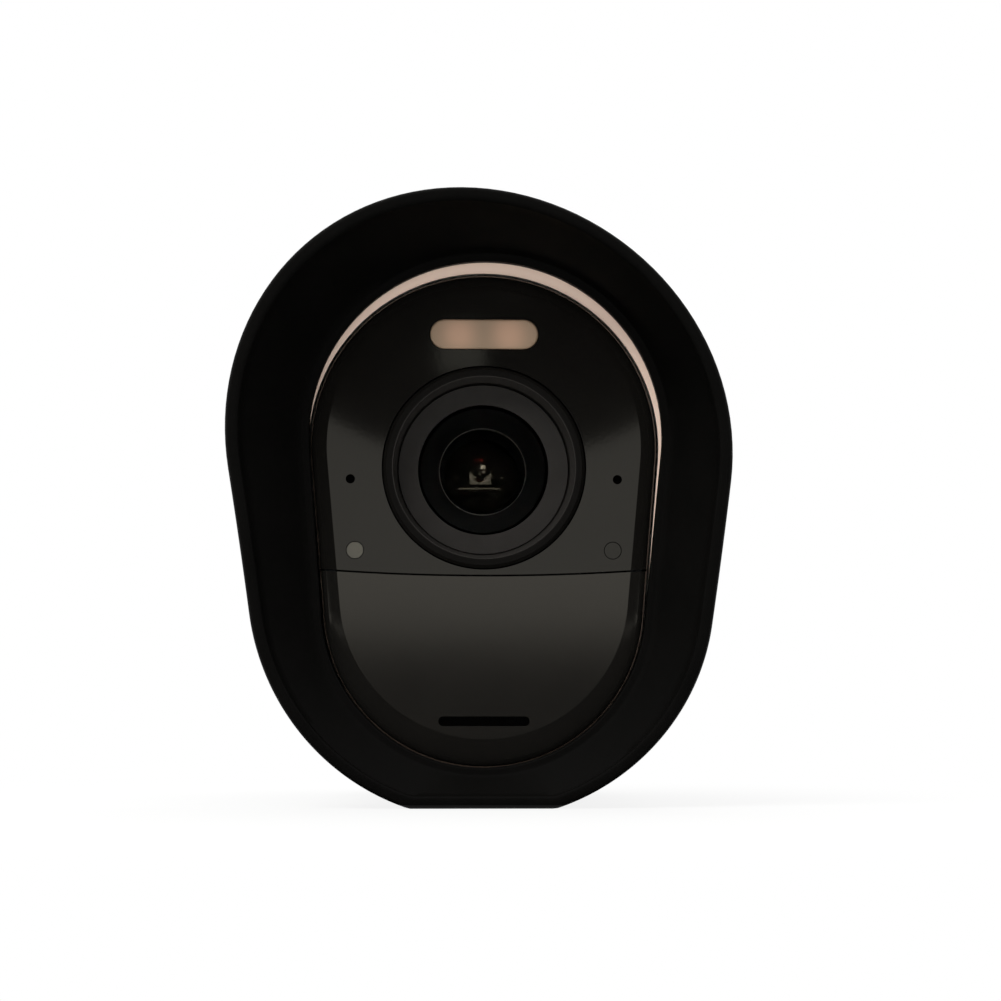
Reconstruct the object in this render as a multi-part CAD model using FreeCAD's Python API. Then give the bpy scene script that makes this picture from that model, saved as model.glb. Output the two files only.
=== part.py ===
"""Moulded silicone case with a sun hood, on the wireless security camera that it fits.

Millimetres. +X is right and +Y is back, so the lens looks along -Y, and +Z is up.
The origin lies on the flat foot that the case stands on, below the lens axis, in the plane of the
camera housing's front edge. Heights of the face's details are counted from the lens axis.
"""

import FreeCAD
import Part
import math
import os

V = FreeCAD.Vector
X_AXIS = V(1, 0, 0)
Y_AXIS = V(0, 1, 0)
Z_AXIS = V(0, 0, 1)
CROWN = math.pi / 2

# The face: an egg of two circles on the middle plane
LENS_HEIGHT = 45.6  # lens axis above the foot
FACE_TOP_R = 23.4
FACE_TOP_RISE = 2.9  # centre of the top circle above the lens axis
FACE_LOW_R = 21.6
FACE_LOW_DROP = 18.7  # centre of the low circle below the lens axis
FACE_PROUD = 1.2  # flat of the face in front of the housing's edge
FACE_BACK = 0.8  # back of the face plates, behind the housing's edge
FACE_ROUND = 2.2  # width of the rounded edge
FACE_ROUND_FOOT = 1.6  # more of it at the foot
FACE_ROUND_STEPS = 3
SPLIT_DROP = 14.6  # middle of the joint between the two face plates
SPLIT_SAG = 0.9
SPLIT_GAP = 0.25

# The camera housing
HOUSING_WALL = 2.0
CORE_CLEARANCE = 0.3  # between the face and the housing's mouth
FULL_TOP_R = 26.8  # outline at the housing's thickest point
FULL_TOP_RISE = 4.4
FULL_LOW_R = 24.3
SHOULDER_Y = 40.0  # where the dome at the back begins
DOME_LENGTH = 55.0
DOME_END = math.radians(53)  # the dome is cut flat here
CAVITY_END = math.radians(46)
DOME_CENTRE_DROP = 5.0  # the dome closes towards this height below the lens axis
BACK_EDGE_R = 2.0
FOOT_ARC = math.radians(24)  # half of the low arc that faces the foot

# The ball seat of the magnetic mount, and the thread in its middle
SEAT_R = 28.0
SEAT_DEPTH = 2.2
INSERT_R = 3.2  # quarter inch camera thread
INSERT_OUTER_R = 4.5
INSERT_LENGTH = 7.0
INSERT_SINK = 0.3
INSERT_BOSS_WALL = 1.8
MAGNET_R = 12.5
MAGNET_THICK = 2.0
MAGNET_CLEARANCE = 0.2

# The silicone case
CASE_WALL = 2.0
CASE_CLEARANCE = 0.15
CASE_END = math.radians(45.5)
LIP_THICK = 1.75
LIP_STEP = 1.1  # flat ring round the opening, before the hood flares
OPENING_TOP_R = 23.9
OPENING_TOP_RISE = 4.1
OPENING_LOW_R = 22.1
OPENING_LOW_DROP = 18.5
OPENING_SHIFT = 0.2  # the soft lip sits a little to the right
HOOD_TOP_R = 32.9
HOOD_TOP_RISE = 3.1
HOOD_LOW_R = 30.6
HOOD_FOOT_CUT = 1.7  # what the flat foot cuts off the hood's round
HOOD_SHIFT = -0.25  # the soft hood hangs a little to the left,
HOOD_SIDE_LEAN = -1.5  # and its top more so
HOOD_LEAN = math.radians(9.2)  # the hood's mouth leans forward at the top
HOOD_FOOT_REACH = 5.5  # mouth in front of the housing's edge, at the foot
HOOD_RIM = 1.8
HOOD_RIM_ROUND = 0.7
RIM_STEPS = 3
NECK_Y = 2.0  # the hood flares in front of this station
NECK_GROW = 1.3
ROOT_SHARE = 0.3  # the hood's root, as a share of the way to the shoulder
ROOT_SINK = 0.3  # the hood's root runs out just inside the sleeve
FOOT_HALF = 9.0  # narrower than the foot of the mouth in front of it
FOOT_SINK = 0.5  # hood and foot are drawn this much too low and cut flat together
FOOT_END_Y = 59.0
FOOT_CORNER_R = 4.0
WINDOW_CORNER_R = 1.2
CASE_WINDOW_EASE = 1.5  # case window round the lever, the port and the button

# The lens
WELL_R = 13.8
TRIM_OUTER_R = 13.6
TRIM_PROUD = 0.4
TRIM_FLAT = 0.9  # width of the trim's front face
TRIM_INNER_R = 11.6
TRIM_STEP_Y = 1.7
BEZEL_OUTER_R = 11.5
BEZEL_INNER_R = 8.9
BEZEL_FRONT_Y = 1.9
BEZEL_SLOPE = 0.7
WINDOW_R = 8.8
WINDOW_THICK = 0.7
WINDOW_SEAT_Y = 3.7
OPTIC_SEAT_Y = 4.2  # front of the barrel's flange
BAFFLE_TOP_R = 8.5
BARREL_R = 7.4
BORE_R = 5.9
BORE_FRONT_Y = 5.6
BORE_STEP_Y = 12.0
BARREL_BACK_Y = 20.0
GLASS_CLEARANCE = 0.05
FRONT_LENS_BULGE = 1.6
FRONT_LENS_THICK = 2.4
REAR_LENS_R = 4.6
REAR_LENS_Y = 15.0
REAR_LENS_THICK = 3.0
HOLDER_HALF = 9.5
HOLDER_WALL = 3.0
HOLDER_DEPTH = 6.4
SENSOR_HALF = 4.0
SENSOR_THICK = 1.0
SENSOR_BOARD_Y = 23.4
BOARD_THICK = 1.2

# What else the face shows
PILL_LENGTH = 14.8
PILL_HEIGHT = 4.2
PILL_RISE = 18.1
PILL_PROUD = 0.35
PILL_FLANGE = 0.9
PILL_FLANGE_THICK = 0.8
LED_X = 3.4
LED_HALF = 1.3
LED_THICK = 0.8
LED_BOARD_HALF = 9.0
LED_BOARD_THICK = 1.0
MIC_X = 18.0
MIC_DROP = 1.6
MIC_HOLE_R = 0.62
MIC_R = 1.5
MIC_THICK = 1.2
DOT_X = 17.35
DOT_DROP = 11.2
DOT_R = 1.1
DOT_SINK = 0.05
PLATE_CLEARANCE = 0.1  # round what fills a hole in the face plates
SLOT_LENGTH = 12.2
SLOT_HEIGHT = 1.3
MESH_MARGIN = 0.6
MESH_THICK = 0.3
SPEAKER_LENGTH = 13.0
SPEAKER_HEIGHT = 6.6
SPEAKER_GAP = 0.37  # from the speaker to the low round of the chassis
MOTION_DROP = 22.0
MOTION_CAN_R = 4.1
MOTION_BASE_R = 4.6
MOTION_BASE_THICK = 0.8
INNER_GAP = 0.3  # between the plates' backs and what stands behind them

# The core behind the face
CHASSIS_GAP = 0.6  # the chassis is this much smaller than the face
CHASSIS_WALL = 1.6
CHASSIS_END_Y = 64.0
BULKHEAD_Y = 30.0
SEAL_Y = 2.6
SEAL_THICK = 1.5
SEAL_DEPTH = 1.0
SEAL_CLEARANCE = 0.15
FRAME_Y = 5.0
FRAME_THICK = 1.5
FRAME_GAP = 0.2
POST_R = 2.2
POST_REACH = 0.9  # share of the way from a circle's centre to the chassis wall
POST_ANGLE = math.radians(45)
SCREW_R = 0.9
SCREW_HEAD_R = 1.7
SCREW_HEAD_THICK = 1.0
SCREW_LENGTH = 7.0
MAIN_BOARD_Y = 25.8
STANDOFF_R = 1.5
STANDOFF_X = 8.0
STANDOFF_RISE = 19.0
BATTERY_HALF = 16.5
BATTERY_HEIGHT = 45.5
BATTERY_DROP = 6.4  # middle of the battery below the lens axis
BATTERY_LENGTH = 28.0
BATTERY_CORNER_R = 6.0
PIN_CONTACT_R = 0.8
PIN_CONTACT_SPACING = 4.0
PIN_CONTACT_COUNT = 4

# Underneath: the release lever, the charging port and the pairing button. Rises are counted from
# the floor of the housing's pocket, and what is proud from the housing's lowest line.
CHANNEL_HALF = 7.2
CHANNEL_ROOF_RISE = 5.4
CHANNEL_START = 1.0  # the chassis's channel begins this far in front of the lever
LEVER_PIVOT_Y = 22.0
LEVER_PIVOT_RISE = 2.8
LEVER_HALF = 4.3
LEVER_THICK = 1.8
LEVER_HUB_R = 2.0
LEVER_FRONT = 12.0
LEVER_BACK = 11.5
LEVER_PAD_LENGTH = 8.0
LEVER_PAD_PROUD = 1.2
LEVER_SWING = 0.7  # the pad moves back this far as it is pressed
LEVER_CLEARANCE = 0.4
HOOK_LENGTH = 3.0
HOOK_CLEARANCE = 0.3
PIN_R = 1.0
PIN_CLEARANCE = 0.05
EAR_THICK = 1.6
EAR_GAP = 0.3
FLOOR_OVERLAP = 0.7  # bosses grow out of the housing's floor
PORT_Y = 41.0
PORT_HALF_LENGTH = 4.0
PORT_HALF = 5.5
PORT_PROUD = 0.4
PORT_WALL = 1.2
PORT_CLEARANCE = 0.12
PORT_SOCKET_DEPTH = 3.4
CONTACT_R = 0.9
CONTACT_SPACING = 3.0
CONTACT_PROUD = 1.2
SYNC_Y = 52.0
SYNC_R = 2.6
SYNC_CLEARANCE = 0.12
SYNC_ROUND = 0.6
SYNC_FLANGE_R = 3.6
SYNC_FLANGE_THICK = 0.8
SYNC_PROUD = 0.3
SYNC_GUIDE_R = 4.2
SYNC_GUIDE_RISE = 1.9
SYNC_REST_GAP = 0.1
SYNC_TRAVEL = 0.6
SWITCH_HALF = 2.2
SWITCH_THICK = 0.8
PORT_BOARD_THICK = 0.8
PORT_BOARD_HALF = 6.4
PORT_BOARD_MARGIN = 0.5
PORT_POST_R = 1.2
PORT_POST_X = 4.9
PORT_POST_Y = 48.0


class Egg:
    """Outline of two circles, one above the other, joined by their outer tangents.

    shift moves both circles sideways, and lean moves the top one sideways of the low one.
    """

    def __init__(self, top_r, top_z, low_r, low_z, shift=0.0, lean=0.0):
        self.top_r = top_r
        self.top_z = top_z
        self.low_r = low_r
        self.low_z = low_z
        self.shift = shift
        self.lean = lean

    def grown(self, by):
        top_r = self.top_r + by
        low_r = self.low_r + by
        return Egg(top_r, self.top_z, low_r, self.low_z, self.shift, self.lean)

    def blended(self, other, share):
        def mix(a, b):
            return a + (b - a) * share

        return Egg(
            mix(self.top_r, other.top_r),
            mix(self.top_z, other.top_z),
            mix(self.low_r, other.low_r),
            mix(self.low_z, other.low_z),
            mix(self.shift, other.shift),
            mix(self.lean, other.lean),
        )

    def closed_towards(self, z, scale, grow):
        """The outline shrunk by scale towards height z, then grown."""
        return Egg(
            self.top_r * scale + grow,
            z + (self.top_z - z) * scale,
            self.low_r * scale + grow,
            z + (self.low_z - z) * scale,
            self.shift,
            self.lean * scale,
        )

    def floor_at(self, x):
        """Height of the low arc at x."""
        return self.low_z - math.sqrt(self.low_r**2 - (x - self.shift) ** 2)

    def wire(self, y, foot_z=None):
        """The outline in the plane at y, with a straight foot at foot_z where one is given."""
        rise = self.top_z - self.low_z
        tilt = math.asin((self.top_r - self.low_r) / math.hypot(self.lean, rise))
        turn = math.atan2(self.lean, rise)
        half_foot = self.low_r * math.sin(FOOT_ARC)
        foot_height = self.low_z - self.low_r * math.cos(FOOT_ARC)
        if foot_z is not None:
            half_foot = math.sqrt(self.low_r**2 - (self.low_z - foot_z) ** 2)
            foot_height = foot_z

        def touch(side):
            """Angle above the horizontal at which a flank meets both circles."""
            return -tilt - side * turn

        def on_low(side, angle):
            x = self.shift + side * self.low_r * math.cos(angle)
            return V(x, y, self.low_z + self.low_r * math.sin(angle))

        def on_top(side, angle):
            x = self.shift + self.lean + side * self.top_r * math.cos(angle)
            return V(x, y, self.top_z + self.top_r * math.sin(angle))

        def foot_end(side):
            return V(self.shift + side * half_foot, y, foot_height)

        def low_arc(side):
            start = -math.acos(half_foot / self.low_r)
            middle = on_low(side, (start + touch(side)) / 2)
            return Part.Arc(foot_end(side), middle, on_low(side, touch(side)))

        def flank(side):
            return Part.LineSegment(on_low(side, touch(side)), on_top(side, touch(side)))

        def top_arc(side):
            middle = on_top(side, (CROWN + touch(side)) / 2)
            crown = V(self.shift + self.lean, y, self.top_z + self.top_r)
            return Part.Arc(on_top(side, touch(side)), middle, crown)

        foot = Part.Arc(foot_end(-1), V(self.shift, y, self.low_z - self.low_r), foot_end(1))
        if foot_z is not None:
            foot = Part.LineSegment(foot_end(-1), foot_end(1))
        curves = [foot, low_arc(1), flank(1), top_arc(1), top_arc(-1), flank(-1), low_arc(-1)]
        return Part.Wire([curve.toShape() for curve in curves])

    def prism(self, y0, y1):
        return Part.Face(self.wire(y0)).extrude(V(0, y1 - y0, 0))


FACE = Egg(FACE_TOP_R, LENS_HEIGHT + FACE_TOP_RISE, FACE_LOW_R, LENS_HEIGHT - FACE_LOW_DROP)
MOUTH = FACE.grown(CORE_CLEARANCE)
FRONT = MOUTH.grown(HOUSING_WALL)
FULL = Egg(FULL_TOP_R, LENS_HEIGHT + FULL_TOP_RISE, FULL_LOW_R, LENS_HEIGHT - FACE_LOW_DROP)
OPENING = Egg(
    OPENING_TOP_R,
    LENS_HEIGHT + OPENING_TOP_RISE,
    OPENING_LOW_R,
    LENS_HEIGHT - OPENING_LOW_DROP,
    OPENING_SHIFT,
)
HOOD = Egg(
    HOOD_TOP_R,
    LENS_HEIGHT + HOOD_TOP_RISE,
    HOOD_LOW_R,
    HOOD_LOW_R - HOOD_FOOT_CUT,
    HOOD_SHIFT,
    HOOD_SIDE_LEAN,
)
CHASSIS = FACE.grown(-CHASSIS_GAP)
INSIDE = CHASSIS.grown(-CHASSIS_WALL)

FRONT_STATIONS = (0.0, 0.12, 0.3, 0.6, 1.0)  # shares of the way to the shoulder
DOME_STEPS = 5
FAR = 2 * HOOD_TOP_R  # past everything
SIDES = (-1, 1)

DOME_Z = LENS_HEIGHT - DOME_CENTRE_DROP
BACK_Y = SHOULDER_Y + DOME_LENGTH * math.sin(DOME_END)
CAVITY_BACK_Y = SHOULDER_Y + DOME_LENGTH * math.sin(CAVITY_END)
CASE_GROW = CASE_CLEARANCE + CASE_WALL
CASE_RUNOUT = math.radians(2)
LIP_FRONT_Y = -CASE_CLEARANCE - LIP_THICK
INSERT_Y = BACK_Y - SEAT_DEPTH - INSERT_SINK
FRAME_BACK_Y = FRAME_Y + FRAME_THICK
PILL_Z = LENS_HEIGHT + PILL_RISE
PILL_FRONT_Y = -FACE_PROUD - PILL_PROUD
DOT_Z = LENS_HEIGHT - DOT_DROP
SPEAKER_REACH = (SPEAKER_LENGTH - SPEAKER_HEIGHT) / 2
SPEAKER_SEAT_R = INSIDE.low_r - SPEAKER_GAP - SPEAKER_HEIGHT / 2
SPEAKER_Z = INSIDE.low_z - math.sqrt(SPEAKER_SEAT_R**2 - SPEAKER_REACH**2)
MIC_Z = LENS_HEIGHT - MIC_DROP
MAIN_BOARD_BACK_Y = MAIN_BOARD_Y + BOARD_THICK
BATTERY_Y = BULKHEAD_Y + CHASSIS_WALL + INNER_GAP
BATTERY_Z = LENS_HEIGHT - BATTERY_DROP
LEVER_FRONT_Y = LEVER_PIVOT_Y - LEVER_FRONT
LEVER_BACK_Y = LEVER_PIVOT_Y + LEVER_BACK
LEVER_PAD_Y = LEVER_BACK_Y - LEVER_PAD_LENGTH
CHANNEL_FRONT_Y = LEVER_FRONT_Y - CHANNEL_START
FLOOR_Z = MOUTH.low_z - MOUTH.low_r
UNDERSIDE_Z = FULL.low_z - FULL.low_r
CHANNEL_ROOF_Z = FLOOR_Z + CHANNEL_ROOF_RISE
LEVER_PIVOT_Z = FLOOR_Z + LEVER_PIVOT_RISE
LEVER_PAD_Z = UNDERSIDE_Z - LEVER_PAD_PROUD
PORT_LOW_Z = UNDERSIDE_Z - PORT_PROUD
SYNC_LOW_Z = UNDERSIDE_Z - SYNC_PROUD
SYNC_GUIDE_Z = FLOOR_Z + SYNC_GUIDE_RISE
SYNC_FLANGE_Z = SYNC_GUIDE_Z + SYNC_REST_GAP
SWITCH_Z = SYNC_FLANGE_Z + SYNC_FLANGE_THICK + SYNC_TRAVEL + SYNC_REST_GAP
PORT_BOARD_Z = SWITCH_Z + SWITCH_THICK


def box(x0, x1, y0, y1, z0, z1):
    return Part.makeBox(x1 - x0, y1 - y0, z1 - z0, V(x0, y0, z0))


def disc(r, y0, y1, x=0.0, z=LENS_HEIGHT):
    """A cylinder along Y."""
    return Part.makeCylinder(r, y1 - y0, V(x, y0, z), Y_AXIS)


def post(r, z0, z1, x, y):
    """A cylinder along Z."""
    return Part.makeCylinder(r, z1 - z0, V(x, y, z0), Z_AXIS)


def cross_pin(r, half_length):
    """A cylinder along X, on the lever's axis."""
    return Part.makeCylinder(
        r, 2 * half_length, V(-half_length, LEVER_PIVOT_Y, LEVER_PIVOT_Z), X_AXIS
    )


def spun(wire):
    """A solid of revolution round the lens axis."""
    return Part.Face(wire).revolve(V(0, 0, LENS_HEIGHT), Y_AXIS, 360)


def turned(profile):
    """A solid of revolution round the lens axis, from (radius, y) pairs."""
    points = [V(r, y, LENS_HEIGHT) for r, y in profile]
    return spun(Part.makePolygon(points + points[:1]))


def pill(length, height, y0, y1, z):
    """A flat bar with round ends, long in X."""
    r = height / 2
    reach = length / 2 - r
    bar = box(-reach, reach, y0, y1, z - r, z + r)
    return bar.fuse([disc(r, y0, y1, side * reach, z) for side in SIDES]).removeSplitter()


def rounded_box(x0, x1, y0, y1, z0, z1, r, axis):
    """A box with the four edges along an axis rounded."""
    block = box(x0, x1, y0, y1, z0, z1)
    along = [e for e in block.Edges if abs(e.tangentAt(e.FirstParameter).dot(axis)) > 0.5]
    return block.makeFillet(r, along)


def edges_where(shape, test):
    """The edges whose ends and middle all pass a test."""

    def points(edge):
        middle = edge.valueAt((edge.FirstParameter + edge.LastParameter) / 2)
        return [vertex.Point for vertex in edge.Vertexes] + [middle]

    return [edge for edge in shape.Edges if all(test(point) for point in points(edge))]


def swell_at(share):
    """How far the housing's outline has grown from its front edge to its full size."""
    return math.sin(CROWN * share)


def dome_wires(egg, end_angle, grow, first_step):
    """Sections of an egg that closes like an ellipse from the shoulder back."""
    wires = []
    for step in range(first_step, DOME_STEPS + 1):
        angle = end_angle * step / DOME_STEPS
        back = math.sin(angle) / DOME_LENGTH
        out = math.cos(angle) / FULL_TOP_R
        length = math.hypot(back, out)
        y = SHOULDER_Y + DOME_LENGTH * math.sin(angle) + grow * back / length
        closed = egg.closed_towards(DOME_Z, math.cos(angle), grow * out / length)
        wires.append(closed.wire(y))
    return wires


def body_form(grow, end_angle, front_y=0.0):
    """The camera's bullet form, grown, from its front edge to an angle of the dome."""
    wires = []
    for share in FRONT_STATIONS:
        egg = FRONT.blended(FULL, swell_at(share)).grown(grow)
        wires.append(egg.wire(SHOULDER_Y * share if share else front_y))
    return Part.makeLoft(wires + dome_wires(FULL, end_angle, grow, 1), True, False)


def straight_form(egg, y0, end_angle):
    """An egg prism that closes with the housing's dome."""
    dome = Part.makeLoft(dome_wires(egg, end_angle, 0, 0), True, False)
    return egg.prism(y0, SHOULDER_Y).fuse(dome)


def mouth_section(depth, back):
    """The hood's outline at a depth inside its outer one, a little behind its leaning mouth."""
    section = HOOD.grown(-depth).wire(0, foot_z=depth - FOOT_SINK)
    section.rotate(V(0, 0, 0), X_AXIS, math.degrees(HOOD_LEAN))
    section.translate(V(0, back - HOOD_FOOT_REACH, 0))
    return section


def rim_sections(depth, side):
    """Sections that round one edge of the mouth: side is 1 for the outer edge, -1 for the inner."""
    sections = []
    for step in range(RIM_STEPS + 1):
        angle = CROWN * step / RIM_STEPS
        inset = HOOD_RIM_ROUND * (1 - math.sin(angle))
        back = HOOD_RIM_ROUND * (1 - math.cos(angle))
        sections.append(mouth_section(depth + side * inset, back))
    return sections


def case_outside():
    """The sleeve with the hood flaring out of its front, on its flat foot."""
    root = FRONT.blended(FULL, swell_at(ROOT_SHARE)).grown(CASE_GROW - ROOT_SINK)
    neck = FRONT.grown(CASE_GROW + NECK_GROW)
    back_sections = [neck.wire(NECK_Y), root.wire(SHOULDER_Y * ROOT_SHARE)]
    hood = Part.makeLoft(rim_sections(0, 1) + back_sections, True, True)
    x = FOOT_HALF
    z = -FOOT_SINK
    foot = rounded_box(-x, x, NECK_Y, FOOT_END_Y, z, FULL.low_z, FOOT_CORNER_R, Z_AXIS)
    form = body_form(CASE_GROW, CASE_END).fuse([hood, foot])
    return form.cut(box(-FAR, FAR, -FAR, FAR, -FAR, 0))


def hood_hollow():
    """The hollow of the hood, from its rounded mouth to the flat ring round the opening."""
    ring = OPENING.grown(LIP_STEP).wire(LIP_FRONT_Y)
    return Part.makeLoft(rim_sections(HOOD_RIM, -1) + [ring], True, True)


def silicone_case():
    """One moulding: sleeve, hood, lip and foot, with its windows underneath."""
    pocket = body_form(CASE_CLEARANCE, CASE_END + CASE_RUNOUT, -CASE_CLEARANCE)
    opening = OPENING.prism(LIP_FRONT_Y - LIP_THICK, CASE_CLEARANCE)
    x = PORT_HALF + CASE_WINDOW_EASE
    y0 = LEVER_PAD_Y - CASE_WINDOW_EASE
    y1 = SYNC_Y + SYNC_R + CASE_WINDOW_EASE
    corner_r = WINDOW_CORNER_R + CASE_WINDOW_EASE
    window = rounded_box(-x, x, y0, y1, -FAR, SYNC_FLANGE_Z, corner_r, Z_AXIS)
    return case_outside().cut([hood_hollow(), pocket, opening, window])


def floor_post(r, top_z, x, y):
    """A boss that grows out of the housing's floor."""
    angle = math.asin(max(0.0, y - SHOULDER_Y) / DOME_LENGTH)
    floor = MOUTH.closed_towards(DOME_Z, math.cos(angle), 0).floor_at(x)
    return post(r, floor - FLOOR_OVERLAP, top_z, x, y)


def lever_ear(side):
    """One of the two ears that hold the lever's pin."""
    near = LEVER_HALF + EAR_GAP
    x0 = near if side > 0 else -near - EAR_THICK
    low = MOUTH.floor_at(near) - FLOOR_OVERLAP
    y = LEVER_PIVOT_Y
    r = LEVER_HUB_R
    web = box(x0, x0 + EAR_THICK, y - r, y + r, low, LEVER_PIVOT_Z)
    eye = Part.makeCylinder(r, EAR_THICK, V(x0, y, LEVER_PIVOT_Z), X_AXIS)
    return web.fuse(eye).cut(cross_pin(PIN_R, FAR))


def port_outline(ease, z0, z1):
    """A rounded block of the charging port's outline, grown."""
    x = PORT_HALF + ease
    y = PORT_HALF_LENGTH + ease
    return rounded_box(-x, x, PORT_Y - y, PORT_Y + y, z0, z1, WINDOW_CORNER_R, Z_AXIS)


def lever_window():
    """Room round the lever's pad, down through the housing."""
    x = LEVER_HALF + LEVER_CLEARANCE
    y0 = LEVER_PAD_Y - LEVER_CLEARANCE
    y1 = LEVER_BACK_Y + LEVER_SWING + LEVER_CLEARANCE
    return rounded_box(-x, x, y0, y1, -FAR, LEVER_PIVOT_Z, WINDOW_CORNER_R, Z_AXIS)


def housing_shell():
    """The white shell with its pocket for the core, its ball seat and its bosses."""
    form = body_form(0, DOME_END)
    form = form.makeFillet(BACK_EDGE_R, edges_where(form, lambda p: p.y > BACK_Y - 0.01))
    shell = form.cut(straight_form(MOUTH, -FACE_PROUD, CAVITY_END))
    boss_r = INSERT_OUTER_R + INSERT_BOSS_WALL
    boss_y = INSERT_Y - INSERT_LENGTH - INSERT_BOSS_WALL
    boss = disc(boss_r, boss_y, CAVITY_BACK_Y + FLOOR_OVERLAP, z=DOME_Z)
    bosses = [boss, floor_post(SYNC_GUIDE_R, SYNC_GUIDE_Z, 0, SYNC_Y)]
    for side in SIDES:
        bosses.append(lever_ear(side))
        bosses.append(floor_post(PORT_POST_R, PORT_BOARD_Z, side * PORT_POST_X, PORT_POST_Y))
    cuts = [
        Part.makeSphere(SEAT_R, V(0, BACK_Y - SEAT_DEPTH + SEAT_R, DOME_Z)),
        disc(INSERT_OUTER_R, INSERT_Y - INSERT_LENGTH, BACK_Y, z=DOME_Z),
        lever_window(),
        port_outline(0, -FAR, PORT_BOARD_Z),
        post(SYNC_R + SYNC_CLEARANCE, -FAR, PORT_BOARD_Z, 0, SYNC_Y),
    ]
    return shell.fuse(bosses).cut(cuts)


def tripod_insert():
    """The brass bush with the camera thread."""
    y0 = INSERT_Y - INSERT_LENGTH
    return disc(INSERT_OUTER_R, y0, INSERT_Y, z=DOME_Z).cut(disc(INSERT_R, y0, INSERT_Y, z=DOME_Z))


def magnet_plate():
    """The steel ring behind the ball seat, round the insert's boss."""
    y0 = CAVITY_BACK_Y - MAGNET_THICK
    hole_r = INSERT_OUTER_R + INSERT_BOSS_WALL + MAGNET_CLEARANCE
    plate = disc(MAGNET_R, y0, CAVITY_BACK_Y, z=DOME_Z)
    return plate.cut(disc(hole_r, y0, CAVITY_BACK_Y, z=DOME_Z))


def lever_pin():
    return cross_pin(PIN_R, LEVER_HALF + EAR_GAP + EAR_THICK)


def release_lever():
    """The rocking lever: a pad under the thumb at the back and a hook at the front."""
    x = LEVER_HALF
    low = LEVER_PIVOT_Z - LEVER_THICK / 2
    high = LEVER_PIVOT_Z + LEVER_THICK / 2
    arm = box(-x, x, LEVER_FRONT_Y, LEVER_BACK_Y - WINDOW_CORNER_R, low, high)
    pad = rounded_box(
        -x, x, LEVER_PAD_Y, LEVER_BACK_Y, LEVER_PAD_Z, high, WINDOW_CORNER_R, Z_AXIS
    )
    hook_top = CHANNEL_ROOF_Z - HOOK_CLEARANCE
    points = [
        V(-x, LEVER_FRONT_Y, LEVER_PIVOT_Z),
        V(-x, LEVER_FRONT_Y, hook_top),
        V(-x, LEVER_FRONT_Y + HOOK_LENGTH / 3, hook_top),
        V(-x, LEVER_FRONT_Y + HOOK_LENGTH, LEVER_PIVOT_Z),
    ]
    hook = Part.Face(Part.makePolygon(points + points[:1])).extrude(V(2 * x, 0, 0))
    lever = arm.fuse([pad, hook, cross_pin(LEVER_HUB_R, x)]).removeSplitter()
    return lever.cut(cross_pin(PIN_R + PIN_CLEARANCE, FAR))


def charging_contacts():
    """Three pins through the roof of the charging port."""
    low = PORT_LOW_Z + PORT_SOCKET_DEPTH - CONTACT_PROUD
    places = [place * CONTACT_SPACING for place in (-1, 0, 1)]
    return Part.makeCompound([post(CONTACT_R, low, PORT_BOARD_Z, x, PORT_Y) for x in places])


def charging_port():
    """The socket block in the housing's floor, open downwards."""
    block = port_outline(-PORT_CLEARANCE, PORT_LOW_Z, PORT_BOARD_Z)
    socket = port_outline(
        -PORT_CLEARANCE - PORT_WALL, PORT_LOW_Z, PORT_LOW_Z + PORT_SOCKET_DEPTH
    )
    return block.cut([socket, charging_contacts()])


def port_board():
    """The small board that lies on the port and the posts."""
    x = PORT_BOARD_HALF
    y0 = PORT_Y - PORT_HALF_LENGTH - PORT_BOARD_MARGIN
    y1 = SYNC_Y + SYNC_FLANGE_R + PORT_BOARD_MARGIN
    return box(-x, x, y0, y1, PORT_BOARD_Z, PORT_BOARD_Z + PORT_BOARD_THICK)


def pairing_switch():
    s = SWITCH_HALF
    return box(-s, s, SYNC_Y - s, SYNC_Y + s, SWITCH_Z, PORT_BOARD_Z)


def pairing_button():
    """A round plunger with the flange that keeps it in the housing."""
    stem = post(SYNC_R, SYNC_LOW_Z, SYNC_FLANGE_Z, 0, SYNC_Y)
    tip = edges_where(stem, lambda p: p.z < SYNC_LOW_Z + SYNC_ROUND)
    stem = stem.makeFillet(SYNC_ROUND, tip)
    flange_top = SYNC_FLANGE_Z + SYNC_FLANGE_THICK
    return stem.fuse(post(SYNC_FLANGE_R, SYNC_FLANGE_Z, flange_top, 0, SYNC_Y)).removeSplitter()


def face_form():
    """Both face plates as one, with their edge rounded like an ellipse."""
    flat = FACE.grown(-FACE_ROUND)
    flat.low_z += FACE_ROUND_FOOT
    wires = []
    for step in range(FACE_ROUND_STEPS + 1):
        angle = CROWN * step / FACE_ROUND_STEPS
        egg = flat.blended(FACE, math.sin(angle))
        wires.append(egg.wire(-FACE_PROUD * math.cos(angle)))
    rounded = Part.makeLoft(wires, True, False)
    return rounded.fuse(FACE.prism(0, FACE_BACK)).removeSplitter()


def beside_split(side):
    """Everything above the joint between the plates, or below it where side is -1."""
    middle_z = LENS_HEIGHT - SPLIT_DROP + side * SPLIT_GAP / 2
    sag_r = (FACE_TOP_R**2 + SPLIT_SAG**2) / (2 * SPLIT_SAG)
    roll = Part.makeCylinder(sag_r, 2 * FAR, V(0, -FAR, middle_z + sag_r), Y_AXIS)
    if side > 0:
        return roll
    return box(-FAR, FAR, -FAR, FAR, middle_z - FAR, middle_z + FAR).cut(roll)


def upper_faceplate():
    """The glossy plate round the lens."""
    holes = [disc(WELL_R, -FAR, FAR), pill(PILL_LENGTH, PILL_HEIGHT, -FAR, FAR, PILL_Z)]
    for side in SIDES:
        holes.append(disc(MIC_HOLE_R, -FAR, FAR, side * MIC_X, MIC_Z))
        holes.append(disc(DOT_R + PLATE_CLEARANCE, -FAR, FAR, side * DOT_X, DOT_Z))
    return face_form().common(beside_split(1)).cut(holes)


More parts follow.
